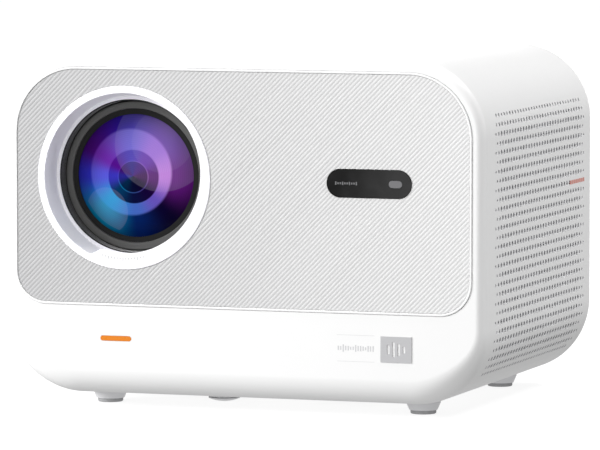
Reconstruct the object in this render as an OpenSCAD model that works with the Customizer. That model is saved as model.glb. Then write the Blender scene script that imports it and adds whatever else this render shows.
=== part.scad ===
// Home projector: a white rounded housing with a ribbed front panel, a motor-focused
// lens, perforated sides, a single-panel optical engine, two fans and two speakers.
// Millimetres. X runs side to side, -Y is the front, +Z is up, z = 0 is the table.

/* [Body] */
// Width of the housing
body_w = 235; // [232:1:240]
// Height of the housing above its feet
body_h = 158.1; // [157:0.1:161]
// Overall depth, from the front trim to the back rim
body_d = 178; // [177:1:182]
// Radius of the four long edges
corner_r = 35.5; // [34:0.5:37]
// Rounding of the edge around the front
front_r = 5.5; // [5:0.5:8]
// Rounding of the edge around the back
back_r = 5; // [4:0.5:5]
// Thickness of the housing wall
wall = 2.6; // [2.2:0.1:3]
// Height of the feet
foot_h = 6.9; // [6.5:0.1:8]

/* [Front] */
// Width of the framed front panel
panel_w = 223; // [218:1:224]
// Height of the panel's top edge above the table
panel_top = 159.6; // [157:0.1:160]
// Height of the panel's bottom edge above the table
panel_low = 48.7; // [46:0.1:52]
// Radius of the panel's top corners
panel_top_r = 30.5; // [26:0.5:32]
// Radius of the panel's bottom corners
panel_low_r = 15.5; // [12:0.5:18]
// Width of the white trim around the panel
trim_w = 1.1; // [0.8:0.1:1.6]
// Lens axis, sideways from the middle
lens_x = -57.3; // [-58:0.1:-56]
// Lens axis, height above the table
lens_z = 108.4; // [107:0.1:109]
// Outer radius of the lens bezel
bezel_r = 42.7; // [42:0.1:43.5]
// Radius of the bezel's mouth, where its flat face ends
mouth_r = 39.4; // [39.2:0.1:39.6]
// Radius of the bezel's throat at its floor
throat_r = 37.4; // [37:0.1:37.6]
// Sensor window, sideways from the middle
sensor_x = 62.4; // [55:0.1:66]
// Length of the sensor window
sensor_w = 40.8; // [36:0.1:44]
// Height of the sensor window
sensor_h = 13; // [11:0.5:15]

/* [Vents] */
// Distance between rows of vent holes, along the surface
vent_row_pitch = 4.32; // [4.2:0.01:4.4]
// Distance between vent holes along a row
vent_pitch = 4.38; // [4.2:0.01:4.4]
// Rows of vent holes on each side
vent_rows = 29; // [25:2:29]
// Columns of vent holes on each side
vent_columns = 34; // [28:2:34]
// Radius of a vent hole
vent_r = 1.3; // [1:0.1:1.5]
// Drill only every so many rows and columns of the full pattern
vent_step = 2; // [1:1:4]

/* [Optics] */
// Depth of the light axis that runs from the LED to the mirror
light_y = 20; // [19:0.5:21]
// Outer radius of the focus barrel
barrel_r = 34.8; // [34.6:0.1:34.9]
// Teeth on a full turn of the focus gear
gear_teeth = 84; // [84:2:86]
// Teeth on the motor pinion
pinion_teeth = 16; // [14:2:18]
// Tooth module of the focus gears
tooth_module = 1; // [1:0.1:1]

/* [Cooling and sound] */
// Side of the LED fan
fan_size = 60; // [58:1:60]
// Side of the LCD fan
lcd_fan_size = 50; // [46:1:52]
// Cooling fins on the LED heatsink
fin_count = 17; // [13:2:19]
// Radius of a speaker's frame
speaker_r = 20; // [18:0.5:21]

/* [Hidden] */
$fn = 96;

gap = 0.3;            // clearance between parts that move past each other
slip = 0.05;          // radial clearance of a shaft in its bearing
seam = 0.15;          // assembly gap around a part that is set into another
small_fn = 24;        // facets of holes and small round parts

front_y = -body_d / 2;              // face of the trim and of the lens bezel
face_y = front_y + 0.4;             // front face of the housing
back_y = body_d / 2;                // rim around the rear cover
floor_z = foot_h + wall;            // inside of the housing's bottom
top_z = foot_h + body_h;
mid_z = foot_h + body_h / 2;
recess_y = face_y + 2;              // floor of the recess behind the front panel
front_wall_y = recess_y + 2;        // inside of the housing's front
side_x = body_w / 2;
inner_x = side_x - wall;

ledge_y = back_y - 2.5;             // the rear cover rests here
cover_y = back_y - 0.5;             // outer face of the rear cover
cover_inset = 6;
cover_screw_x = side_x - corner_r + 17.7;
cover_screw_z = [foot_h + corner_r - 17.7, top_z - corner_r + 17.7];

tray_w = 134;
tray_y0 = -62;
tray_y1 = 74;
tray_top = floor_z + 2;             // upper face of the tray

foot_x = 77.5;
foot_y = [-54, 68];
tilt_pos = [-22.2, -49];
tripod_pos = [0, 8];

glass_y = front_y + 17.4;           // rim of the front lens
rim_y = front_y + 15.8;             // front of the focus barrel
throat_y = front_y + 10.7;          // floor of the bezel's throat
tube_y = [front_y + 17, -31];
gear_y = [-60, -54];
pitch_r = tooth_module * gear_teeth / 2;
mesh_angle = -40;                   // direction from the lens axis to the pinion
mesh_gap = pitch_r + tooth_module * pinion_teeth / 2;
pinion_x = lens_x + mesh_gap * cos(mesh_angle);
pinion_z = lens_z + mesh_gap * sin(mesh_angle);

engine_z = [73, 142];               // floor and rim of the engine's base
engine_wall = 2;
glass_floor = engine_z[0] + engine_wall;
condenser_x = 40;
mirror_thickness = 3;
mirror_line = light_y - lens_x;     // the mirror's plane is y = x + mirror_line

speaker_y = -46;
speaker_z = 43;
baffle_x = 106;                     // outer face of a speaker box

inlet_x = 52;
inlet_z = 36;
port_z = 31;                        // middle of the sockets on the main board
button_pos = [88, 36];
board_z = [25, 26.6];               // the main board's lower and upper face

// ---- General shapes -------------------------------------------------------------------

// A box between two opposite corners
module block(low, high) translate(low) cube(high - low);

// Extrude an outline drawn in (y, z) along X, in (x, z) along Y, or in (x, y) along Z
module along_x(x0, x1) translate([x0, 0, 0]) rotate([90, 0, 90]) linear_extrude(x1 - x0) children();
module along_y(y0, y1) translate([0, y1, 0]) rotate([90, 0, 0]) linear_extrude(y1 - y0) children();
module along_z(z0, z1) translate([0, 0, z0]) linear_extrude(z1 - z0) children();

// Turn a profile drawn in (radius, distance) about an axis along X or along Y
module turned_x(y, z) translate([0, y, z]) rotate([0, 90, 0]) rotate_extrude() children();
module turned_y(x, z) translate([x, 0, z]) rotate([-90, 0, 0]) rotate_extrude() children();

module disc(x, y, r) translate([x, y]) circle(r);

module round_rect(w, h, r) {
    square([w - 2 * r, h], center = true);
    square([w, h - 2 * r], center = true);
    for (x = [-1, 1], y = [-1, 1]) disc(x * (w / 2 - r), y * (h / 2 - r), r);
}

// A slot with round ends, along the outline's first axis
module slot(w, h) {
    square([w - h, h], center = true);
    for (x = [-1, 1]) disc(x * (w - h) / 2, 0, h / 2);
}

module ring(outer_r, inner_r) {
    difference() {
        circle(outer_r);
        circle(inner_r);
    }
}

// A flat-topped screw with a cross recess, its head's top at z = 0 and its shank going down
module screw(head_r, head_h, shank_r, length) {
    difference() {
        translate([0, 0, -head_h]) cylinder(r = head_r, h = head_h, $fn = small_fn);
        for (a = [0, 90]) rotate(a) cube([head_r * 1.2, head_r / 4, head_h], center = true);
    }
    translate([0, 0, -head_h - length]) cylinder(r = shank_r, h = length, $fn = small_fn);
}

// ---- Housing --------------------------------------------------------------------------

// Section through the housing's edge: x is the distance out from a corner's axis,
// y the distance forward from the back
module edge_section(r, depth, front, back) {
    translate([0, back]) square([r, depth - front - back]);
    square([r - back, depth]);
    translate([0, back]) square([r - front, depth - back]);
    disc(r - front, depth - front, front);
    disc(r - back, back, back);
}

// A block with rounded long edges and a rounded rim at each end, standing on its back
module rounded_block(w, h, r, depth, front, back) {
    for (k = [0 : 3]) rotate(90 * k) {
        half_x = (k % 2 == 0 ? w : h) / 2 - r;
        half_y = (k % 2 == 0 ? h : w) / 2 - r;
        translate([half_x, half_y, 0]) {
            rotate_extrude(angle = 90) edge_section(r, depth, front, back);
            rotate([90, 0, 0]) linear_extrude(2 * half_y) edge_section(r, depth, front, back);
        }
    }
    translate([0, 0, depth / 2]) cube([w - 2 * r, h - 2 * r, depth], center = true);
}

// The housing's outline moved inwards
module body_outline(inset) {
    translate([0, mid_z]) round_rect(body_w - 2 * inset, body_h - 2 * inset, corner_r - inset);
}

// The panel's outline moved inwards, with larger corners at the top
module panel_outline(inset) {
    half_w = panel_w / 2 - inset;
    low = panel_low + inset;
    high = panel_top - inset;
    top_r = panel_top_r - inset;
    low_r = panel_low_r - inset;
    translate([-half_w, low + low_r]) square([2 * half_w, high - top_r - low - low_r]);
    translate([-half_w + low_r, low]) square([2 * (half_w - low_r), high - top_r - low]);
    translate([-half_w + top_r, low + low_r]) square([2 * (half_w - top_r), high - low - low_r]);
    for (side = [-1, 1]) {
        disc(side * (half_w - top_r), high - top_r, top_r);
        disc(side * (half_w - low_r), low + low_r, low_r);
    }
}

module sensor_outline(grow) translate([sensor_x, lens_z]) slot(sensor_w + 2 * grow, sensor_h + 2 * grow);

// Height of the highest vent row over the start of the upper corner, along the surface
vent_start = 10.15;
vent_mid_y = 1.15;
flat_side = body_h - 2 * corner_r;

// Move a shape from the outer face of the right side's start to a distance along the surface:
// positive up the upper corner, negative down the side and round the lower corner
module at_surface(s) {
    upper = top_z - corner_r;
    if (s > 0) {
        translate([side_x - corner_r, 0, upper]) rotate([0, -s / corner_r * 180 / PI, 0])
            translate([corner_r, 0, 0]) children();
    } else if (s > -flat_side) {
        translate([side_x, 0, upper + s]) children();
    } else {
        translate([side_x - corner_r, 0, upper - flat_side])
            rotate([0, (-s - flat_side) / corner_r * 180 / PI, 0])
                translate([corner_r, 0, 0]) children();
    }
}

module vent_hole(y) {
    translate([-2 * wall, y, 0]) rotate([0, 90, 0]) cylinder(r = vent_r, h = 3 * wall, $fn = small_fn);
}

// One side's holes: every second drilled row is moved along by half a drilled pitch
module vent_pattern() {
    drilled = vent_pitch * vent_step;
    half_row = vent_pitch * (vent_columns - 1) / 2;
    for (row = [0 : vent_step : vent_rows - 1]) {
        shift = (row / vent_step) % 2 == 0 ? 0 : drilled / 2;
        at_surface(vent_start - row * vent_row_pitch)
            for (y = [shift - half_row : drilled : half_row + 0.1]) vent_hole(vent_mid_y + y);
    }
}

module housing_shell() {
    difference() {
        translate([0, back_y, mid_z]) rotate([90, 0, 0])
            rounded_block(body_w, body_h, corner_r, back_y - face_y, front_r, back_r);
        along_y(front_wall_y, ledge_y - 2) body_outline(wall);
        along_y(ledge_y - 3, ledge_y + 1) body_outline(cover_inset + 2.5);
        along_y(ledge_y, back_y + 1) body_outline(cover_inset - seam);
    }
}

module housing() {
    color("white") difference() {
        union() {
            housing_shell();
            cover_screw_places() translate([0, -10, 0]) rotate([-90, 0, 0]) cylinder(r = 5, h = 10);
        }
        along_y(face_y - 1, recess_y) panel_outline(-seam);
        along_y(face_y, front_wall_y + 1) disc(lens_x, lens_z, 40.4);
        along_y(face_y, front_wall_y + 1) translate([sensor_x + 10, lens_z]) square([16, 8], center = true);
        along_y(face_y - 1, front_wall_y + 1) translate([-61.5, 33.5]) slot(15.4, 2.5);
        along_z(foot_h - 1, floor_z + 0.5) tray_outline(seam);
        for (x = [-foot_x, foot_x], y = foot_y) along_z(foot_h - 1, floor_z + 0.5) disc(x, y, 1.6);
        base_screw_places() {
            cylinder(r = 1.6, h = 20, center = true, $fn = small_fn);
            translate([0, 0, -1]) cylinder(r = 2.9, h = 2.2, $fn = small_fn);
        }
        cover_screw_places() rotate([90, 0, 0]) cylinder(r = 1.25, h = 16, center = true, $fn = small_fn);
        vent_pattern();
        mirror([1, 0, 0]) vent_pattern();
    }
}

// ---- Rear cover and base --------------------------------------------------------------

module cover_screw_places() {
    for (side = [-1, 1], z = cover_screw_z) translate([side * cover_screw_x, ledge_y, z]) children();
}

module rear_cover() {
    color("whitesmoke") difference() {
        along_y(ledge_y, cover_y) body_outline(cover_inset);
        along_y(ledge_y - 1, cover_y + 1) {
            translate([inlet_x, inlet_z]) round_rect(24.4, 14.4, 3);
            disc(button_pos[0], button_pos[1], 5.3);
            for (x = hdmi_x) translate([x, port_z]) round_rect(16, 6.6, 1);
            for (x = usb_x) translate([x, port_z]) round_rect(14.2, 6.8, 1);
            disc(audio_x, port_z, 3.6);
            for (row = [0 : 7], column = [-2 : 2])
                translate([column * 34, 78 + row * 8]) slot(28, 3);
        }
        cover_screw_places() rotate([90, 0, 0]) cylinder(r = 1.7, h = 6, center = true, $fn = small_fn);
        cover_screw_places() translate([0, 1, 0]) rotate([-90, 0, 0]) cylinder(r = 3.6, h = 5);
    }
}

module tray_outline(grow) {
    translate([0, (tray_y0 + tray_y1) / 2])
        round_rect(tray_w + 2 * grow, tray_y1 - tray_y0 + 2 * grow, 10 + grow);
}

module base_screw_places() {
    for (x = [-1, 1], y = [tray_y0 + 20, tray_y1 - 20])
        translate([x * (tray_w / 2 + 3), y, foot_h]) children();
}

// A tray that fills the opening in the housing's bottom and carries the inner parts
module base_tray() {
    color("gainsboro") difference() {
        union() {
            along_z(foot_h + 0.3, floor_z) tray_outline(0);
            along_z(floor_z, tray_top) tray_outline(6);
            along_z(tray_top, tray_top + 8) disc(tilt_pos[0], tilt_pos[1], 8);
            along_z(tray_top, tray_top + 8) disc(tripod_pos[0], tripod_pos[1], 8);
        }
        along_z(foot_h, tray_top + 9) disc(tilt_pos[0], tilt_pos[1], 6);
        along_z(foot_h, tray_top + 9) disc(tripod_pos[0], tripod_pos[1], 6);
        base_screw_places() cylinder(r = 1.25, h = 20, center = true, $fn = small_fn);
        for (column = [-1 : 2 : 1], row = [0 : 7])
            along_z(foot_h, tray_top + 1) translate([column * 34, -28 + row * 10]) slot(30, 3);
    }
}

module tripod_insert() {
    color("goldenrod") along_z(foot_h + 0.6, tray_top + 8)
        translate(tripod_pos) ring(6, 3.175);
}

module base_screws() color("silver") base_screw_places() mirror([0, 0, 1]) screw(2.6, 1.2, 1.2, 3.2);

module rear_screws() {
    color("silver") cover_screw_places() translate([0, 2, 0]) rotate([-90, 0, 0]) screw(3.1, 1, 1.2, 6.5);
}

// ---- Front ----------------------------------------------------------------------------

module panel_trim() {
    color("white") along_y(front_y, recess_y) difference() {
        panel_outline(0);
        panel_outline(trim_w);
    }
}

module front_panel() {
    color("lightgray") along_y(front_y + 0.3, recess_y) difference() {
        panel_outline(trim_w + seam);
        disc(lens_x, lens_z, bezel_r + seam);
        sensor_outline(seam);
    }
}

// Inner edge of the bezel's floor, and of the seal that lines it
floor_r = 35.9;
seal_r = barrel_r + 0.5;
// At the bottom and the right, a ledge narrows the mouth: its sector, seen from the front, and the
// middle and the radius of the round cut that shapes its inner edge
ledge_angles = [-113, 44];
ledge_cut = [0.2, 2.6];
ledge_cut_r = 37.7;

// A wedge that covers a circle of radius r between two angles
module wedge(r, from, to) {
    far = r / cos((to - from) / 2);
    polygon([[0, 0], far * [cos(from), sin(from)], far * [cos(to), sin(to)]]);
}

// A flat ring with a throat that narrows towards its floor, and the ledge
module lens_bezel() {
    tube_r = 40;
    color("white") {
        turned_y(lens_x, lens_z) polygon([
            [mouth_r, front_y], [bezel_r, front_y], [bezel_r, recess_y], [tube_r, recess_y],
            [tube_r, throat_y + 1.5], [floor_r, throat_y + 1.5], [floor_r, throat_y], [throat_r, throat_y]
        ]);
        along_y(front_y, front_y + 2) translate([lens_x, lens_z]) intersection() {
            difference() {
                circle(mouth_r + 0.3);
                translate(ledge_cut) circle(ledge_cut_r);
            }
            wedge(bezel_r, ledge_angles[0], ledge_angles[1]);
        }
    }
}

// Felt ring that lines the bezel's floor and closes the gap in front of the lens tube
module lens_seal() {
    color("dimgray") turned_y(lens_x, lens_z) polygon([
        [seal_r, throat_y + 0.3], [floor_r - 0.02, throat_y + 0.3], [floor_r - 0.02, throat_y + 1.5],
        [39.5, throat_y + 1.5], [39.5, tube_y[0]], [seal_r, tube_y[0]]
    ]);
}

sensor_lens_x = sensor_x + 12.6;

module sensor_window() {
    color("black") along_y(front_y + 0.1, recess_y) difference() {
        sensor_outline(0);
        translate([sensor_lens_x, lens_z]) slot(6.6, 3.5);
    }
}

module sensor_lens() {
    color("dimgray") along_y(front_y + 0.15, recess_y) translate([sensor_lens_x, lens_z]) slot(6.4, 3.3);
}

// Autofocus camera behind the sensor window
module camera_module() {
    color("darkgreen") along_y(front_wall_y, front_wall_y + 1.6)
        translate([sensor_x + 8, lens_z]) square([34, 16], center = true);
    color("black") along_y(recess_y, front_wall_y) disc(sensor_lens_x, lens_z, 3);
}

module light_bar() {
    color("darkorange") along_y(face_y - 0.1, front_wall_y) translate([-61.5, 33.5]) slot(15.2, 2.3);
}

// A level-meter badge: four bars cut out of a square plate
module badge_plate() {
    bar_heights = [4.2, 6.8, 5.4, 3];
    color("darkgray") along_y(face_y - 0.3, face_y) difference() {
        translate([75.4, 32.8]) square([14.9, 11.9], center = true);
        for (k = [0 : 3]) translate([71.7 + 2.5 * k, 32.8]) square([1.2, bar_heights[k]], center = true);
    }
}

// ---- Feet -----------------------------------------------------------------------------

module at_feet() for (x = [-foot_x, foot_x], y = foot_y) translate([x, y, 0]) children();

module foot_collars() {
    color("lightgray") at_feet() rotate_extrude() difference() {
        polygon([[1.6, 1.8], [6.6, 1.8], [8.1, 5.2], [8.1, foot_h], [1.6, foot_h]]);
        square([6.1, 4]);
    }
}

module foot_pads() {
    color("dimgray") at_feet() rotate_extrude()
        polygon([[0, 0], [5.6, 0], [6, 0.4], [6, 4], [3.4, 4], [3.4, 2.6], [0, 2.6]]);
}

module foot_screws() {
    color("silver") at_feet() {
        translate([0, 0, 2.7]) cylinder(r = 3, h = 1.3, $fn = small_fn);
        translate([0, 0, 4]) cylinder(r = 1.5, h = foot_h + wall - 1, $fn = small_fn);
    }
}

// The tilt foot: the pad stays still on the table while the screw turns above it
pad_bottom = 1.6;
pad_top = 3.5;
wheel_z = [pad_top + gap, foot_h - 0.2];
tilt_r = 7.4;
thread_r = 4;

module tilt_pad() {
    dome_r = (tilt_r * tilt_r + 1.5 * 1.5) / 3;
    color("lightgray") translate([tilt_pos[0], tilt_pos[1], 0]) rotate_extrude() difference() {
        intersection() {
            translate([0, pad_bottom]) square([tilt_r, pad_top - pad_bottom]);
            disc(0, pad_bottom + dome_r, dome_r);
        }
        translate([0, pad_top - 1]) square([1.5 + slip, 2]);
        translate([-10, 0]) square([10, 20]);
    }
}

module tilt_screw() {
    color("lightgray") translate([tilt_pos[0], tilt_pos[1], 0]) {
        translate([0, 0, pad_top - 0.8]) cylinder(r = 1.5, h = 2, $fn = small_fn);
        difference() {
            translate([0, 0, wheel_z[0]]) cylinder(r = tilt_r, h = wheel_z[1] - wheel_z[0]);
            for (k = [0 : 17]) rotate(20 * k) translate([tilt_r + 0.4, 0, 0])
                cylinder(r = 0.9, h = 10, $fn = small_fn);
        }
        translate([0, 0, wheel_z[1]]) cylinder(r = thread_r, h = 15);
    }
}

module tilt_nut() {
    color("goldenrod") along_z(foot_h + 0.4, tray_top + 8) translate(tilt_pos) ring(6, thread_r + slip);
}

// ---- Sockets and button ---------------------------------------------------------------

hdmi_x = [-26, -46];
usb_x = [-66, -83];
audio_x = -9;

module power_button() {
    color("silver") {
        along_y(ledge_y - gap, back_y) disc(button_pos[0], button_pos[1], 5);
        along_y(ledge_y - 1.5, ledge_y - gap) disc(button_pos[0], button_pos[1], 6.2);
        along_y(ledge_y - 4, ledge_y + 0.5) disc(button_pos[0], button_pos[1], 3);
    }
}

module switch_board() {
    color("darkgreen") block([76, ledge_y - 10.6, 28], [93, ledge_y - 9, 44]);
    color("black") block([85, ledge_y - 9, 33], [91, ledge_y - 5, 39]);
    color("whitesmoke") for (z = [31, 41]) along_y(ledge_y - 9, ledge_y) disc(79, z, 1.5, $fn = small_fn);
}

module ac_inlet() {
    color("black") difference() {
        along_y(ledge_y - 14, cover_y + 0.1) translate([inlet_x, inlet_z]) round_rect(24, 14, 2.8);
        along_y(ledge_y - 12, back_y + 1) translate([inlet_x, inlet_z]) slot(18, 9.4);
        for (x = [-4.3, 4.3]) along_y(ledge_y - 20, ledge_y) disc(inlet_x + x, inlet_z, 1.2);
    }
}

module inlet_pins() {
    color("silver") for (x = [-4.3, 4.3]) along_y(ledge_y - 19, ledge_y - 3) disc(inlet_x + x, inlet_z, 1.18);
}

// A metal socket shell, open at the back, with a tongue in it
module socket(x, w, h) {
    base_y = ledge_y - 10;
    color("silver") difference() {
        along_y(base_y, cover_y - 0.2) translate([x, port_z]) round_rect(w, h, 0.8);
        along_y(base_y + 1, cover_y) translate([x, port_z]) round_rect(w - 0.8, h - 0.8, 0.5);
    }
    color("black") along_y(base_y + 0.9, cover_y - 2) translate([x, port_z])
        square([w - 3, h / 4], center = true);
    color("silver")
        block([x - w / 2 + 1, base_y, board_z[1]], [x + w / 2 - 1, base_y + 8, port_z - h / 2 + 0.5]);
}

module hdmi_ports() for (x = hdmi_x) socket(x, 15, 5.6);

module usb_ports() for (x = usb_x) socket(x, 13.2, 5.8);

module audio_jack() {
    color("black") difference() {
        union() {
            block([audio_x - 3.2, ledge_y - 12, board_z[1]], [audio_x + 3.2, ledge_y - 0.4, port_z + 3.4]);
            along_y(ledge_y - 0.4, cover_y) disc(audio_x, port_z, 3);
        }
        along_y(ledge_y - 11, cover_y + 1) disc(audio_x, port_z, 1.8);
    }
}

// ---- Boards ---------------------------------------------------------------------------

main_low = [-91, 24];
main_high = [-2, ledge_y - 1];
psu_low = [24, 26];
psu_high = [68, ledge_y - 16];
psu_z = [24, 25.6];

module board_post_places() {
    for (x = [main_low[0] + 20, main_high[0] - 6], y = [main_low[1] + 5, main_high[1] - 17])
        translate([x, y, 0]) children();
}

module psu_post_places() {
    for (x = [psu_low[0] + 4, psu_high[0] - 4], y = [psu_low[1] + 4, psu_high[1] - 4])
        translate([x, y, 0]) children();
}

module main_board() {
    color("darkgreen") difference() {
        block([main_low[0], main_low[1], board_z[0]], [main_high[0], main_high[1], board_z[1]]);
        board_post_places() cylinder(r = 1.6, h = 40, $fn = small_fn);
    }
    color("black") for (p = [[-84, 36], [-88, 56], [-22, 44]])
        block([p[0], p[1], board_z[1]], [p[0] + 9, p[1] + 9, board_z[1] + 1.2]);
}

module board_heatsink() {
    color("silver") {
        block([-62, 32, board_z[1]], [-30, 64, board_z[1] + 2.5]);
        for (k = [0 : 8])
            block([-62 + 3.9 * k, 32, board_z[1] + 2.5], [-61.2 + 3.9 * k, 64, board_z[1] + 12]);
    }
}

module board_posts() {
    color("goldenrod") {
        board_post_places() {
            translate([0, 0, tray_top]) cylinder(r = 2.6, h = board_z[0] - tray_top, $fn = small_fn);
            translate([0, 0, board_z[0]]) cylinder(r = 1.5, h = 2, $fn = small_fn);
        }
        psu_post_places() {
            translate([0, 0, tray_top]) cylinder(r = 2.6, h = psu_z[0] - tray_top, $fn = small_fn);
            translate([0, 0, psu_z[0]]) cylinder(r = 1.5, h = 2, $fn = small_fn);
        }
    }
}

module psu_board() {
    color("peru") difference() {
        block([psu_low[0], psu_low[1], psu_z[0]], [psu_high[0], psu_high[1], psu_z[1]]);
        psu_post_places() cylinder(r = 1.6, h = 40, $fn = small_fn);
    }
}

module psu_parts() {
    z = psu_z[1];
    color("gold") block([32, 44, z], [50, 62, z + 20]);
    color("black") for (x = [36, 50]) translate([x, 37, z]) cylinder(r = 5.5, h = 24, $fn = small_fn);
    color("silver") block([58, 34, z], [60.5, 62, z + 22]);
}

// ---- Optical engine -------------------------------------------------------------------

// Outline of the engine in plan, moved inwards: a triangular mirror chamber, a straight
// run for the flat optics, and a taper down to the LED
module engine_outline(inset) {
    back_line = mirror_line + (mirror_thickness + engine_wall - inset) * sqrt(2);
    front = light_y - 51 + inset;
    rear = light_y + 51 - inset;
    left = -111 + inset;
    led_x = 72 - inset;
    led_half = 30 - inset;
    polygon([
        [left, front], [18, front], [led_x, light_y - led_half], [led_x, light_y + led_half],
        [18, rear], [rear - back_line, rear], [left, left + back_line]
    ]);
}

module engine_base() {
    color([0.15, 0.15, 0.16]) difference() {
        union() {
            difference() {
                along_z(engine_z[0], engine_z[1]) engine_outline(0);
                along_z(glass_floor, engine_z[1] + 1) engine_outline(engine_wall);
            }
            block([condenser_x - 3, light_y - 38, glass_floor - 1],
                [condenser_x, light_y + 38, engine_z[1] - 1]);
        }
        along_x(condenser_x - 4, condenser_x + 1) disc(light_y, lens_z, 25);
        along_y(-40, light_y - 40) disc(lens_x, lens_z, 33);
        along_x(60, 80) translate([light_y, lens_z]) square([26, 26], center = true);
        along_z(engine_z[0] - 1, engine_z[0] + 3) translate([5.5, light_y]) square([12, 40], center = true);
    }
}

module engine_cover() {
    color([0.2, 0.2, 0.21]) difference() {
        along_z(engine_z[1], engine_z[1] + 2) engine_outline(0);
        along_z(engine_z[1] - 1, engine_z[1] + 3) translate([5.5, light_y]) square([12, 40], center = true);
    }
}

// Three sheet-metal legs between the base tray and the engine
module engine_legs() {
    color("silver") for (p = [[-50, -16], [44, -18], [4, 56]]) {
        block([p[0], p[1], tray_top], [p[0] + 14, p[1] + 1.5, engine_z[0]]);
        block([p[0], p[1] + 1.5, tray_top], [p[0] + 14, p[1] + 9, tray_top + 1.5]);
        block([p[0], p[1] + 1.5, engine_z[0] - 1.5], [p[0] + 14, p[1] + 9, engine_z[0]]);
    }
}

// Front-silvered mirror at 45 degrees, its face towards the LED and the lens
module fold_mirror() {
    color("lightsteelblue") translate([lens_x, light_y, glass_floor]) rotate(45)
        translate([-63, 0, 0]) cube([126, mirror_thickness, 63]);
}

// A flat optic across the light axis, standing on the engine's floor
module flat_optic(x, thickness, w) {
    block([x, light_y - w / 2, glass_floor], [x + thickness, light_y + w / 2, glass_floor + 65]);
}

module exit_fresnel() color("aliceblue", 0.5) flat_optic(-5, 2, 97);
module entry_fresnel() color("aliceblue", 0.5) flat_optic(14, 2, 97);
module polariser() color("lightcyan", 0.5) flat_optic(9.5, 1.5, 97);

// Liquid-crystal panel in a thin frame, with its flex tail on top
module lcd_panel() {
    color("darkslategray") flat_optic(3, 2.4, 97);
    color("orange") block([3.8, light_y - 15, glass_floor + 65], [4.2, light_y + 15, engine_z[1] + 6]);
}

// Plano-convex lens that gathers the LED's light
module condenser_lens() {
    dome_r = 42;
    color("lightcyan", 0.6) turned_x(light_y, lens_z) intersection() {
        translate([0, condenser_x]) square([28, 18]);
        disc(0, condenser_x + 18 - dome_r, dome_r);
    }
}

module led_board() {
    color("white") block([72, light_y - 22, lens_z - 22], [73.6, light_y + 22, lens_z + 22]);
    color("gold") block([70.8, light_y - 9, lens_z - 9], [72, light_y + 9, lens_z + 9]);
}

module led_heatsink() {
    half_w = 31;
    fin_pitch = (2 * half_w - 1) / (fin_count - 1);
    color("silver") {
        block([73.6, light_y - half_w, lens_z - 31], [78.6, light_y + half_w, lens_z + 31]);
        for (k = [0 : fin_count - 1])
            translate([78.6, light_y - half_w + k * fin_pitch, lens_z - 31]) cube([19, 1, 62]);
    }
}

// ---- Fans -----------------------------------------------------------------------------

// A square fan frame lying flat: spokes and the bearing cup are at the far end
module fan_housing(size, height) {
    linear_extrude(height) difference() {
        round_rect(size, size, 3);
        circle(size / 2 - 1.6);
        for (x = [-1, 1], y = [-1, 1]) disc(x * (size / 2 - 4), y * (size / 2 - 4), 1.6, $fn = small_fn);
    }
    translate([0, 0, height - 2]) linear_extrude(2) {
        ring(size * 0.24, 1.5 + slip);
        for (k = [0 : 3]) rotate(90 * k + 45) translate([size * 0.23, -1.5]) square([size * 0.27 - 1.5, 3]);
    }
}

// A fan wheel to match: a hub with a shaft and flat blades set at a pitch
module fan_wheel(size, height) {
    hub_r = size * 0.24;
    tip_r = size / 2 - 2.6;
    wheel_h = height - 3.4;
    translate([0, 0, 0.6]) cylinder(r = hub_r, h = wheel_h);
    translate([0, 0, wheel_h]) cylinder(r = 1.5, h = height - wheel_h, $fn = small_fn);
    intersection() {
        for (k = [0 : 6]) rotate(360 / 7 * k) translate([hub_r - 1, 0, 0.6 + wheel_h / 2])
            rotate([38, 0, 0]) translate([0, -wheel_h * 0.62, -0.6]) cube([tip_r, wheel_h * 1.24, 1.2]);
        translate([0, 0, 0.6]) cylinder(r = tip_r, h = wheel_h);
    }
}

fan_x = 99;
fan_depth = 12;
lcd_fan_z = 60;
lcd_fan_h = 11;

module at_fan() translate([fan_x, light_y, lens_z]) rotate([0, 90, 0]) children();
module at_lcd_fan() translate([5.5, light_y, lcd_fan_z + lcd_fan_h]) mirror([0, 0, 1]) children();

module fan_frame() color([0.12, 0.12, 0.12]) at_fan() fan_housing(fan_size, fan_depth);
module fan_rotor() color([0.2, 0.2, 0.2]) at_fan() fan_wheel(fan_size, fan_depth);
module lcd_fan_frame() color([0.12, 0.12, 0.12]) at_lcd_fan() fan_housing(lcd_fan_size, lcd_fan_h);
module lcd_fan_rotor() color([0.2, 0.2, 0.2]) at_lcd_fan() fan_wheel(lcd_fan_size, lcd_fan_h);

// ---- Lens and focus drive -------------------------------------------------------------

pin_y = -50;                        // the barrel's guide pins at rest
focus_travel = 3;
pin_angles = [90, 210, 330];

module radial_pins(r0, r1, pin_r) {
    for (a = pin_angles) translate([lens_x, pin_y, lens_z]) rotate([0, -a, 0]) rotate([0, 90, 0])
        translate([0, 0, r0]) cylinder(r = pin_r, h = r1 - r0, $fn = small_fn);
}

// Fixed tube on the engine, with a slot for each guide pin
module lens_tube() {
    color([0.13, 0.13, 0.14]) difference() {
        turned_y(lens_x, lens_z) polygon([
            [barrel_r + gap, tube_y[0]], [38, tube_y[0]], [38, tube_y[1] - 3], [41.5, tube_y[1] - 3],
            [41.5, tube_y[1]], [barrel_r + gap, tube_y[1]]
        ]);
        for (a = pin_angles) translate([lens_x, pin_y, lens_z]) rotate([0, -a, 0])
            translate([30, -focus_travel - 1.8, -1.8]) cube([12, 2 * focus_travel + 3.6, 3.6]);
    }
}

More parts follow.
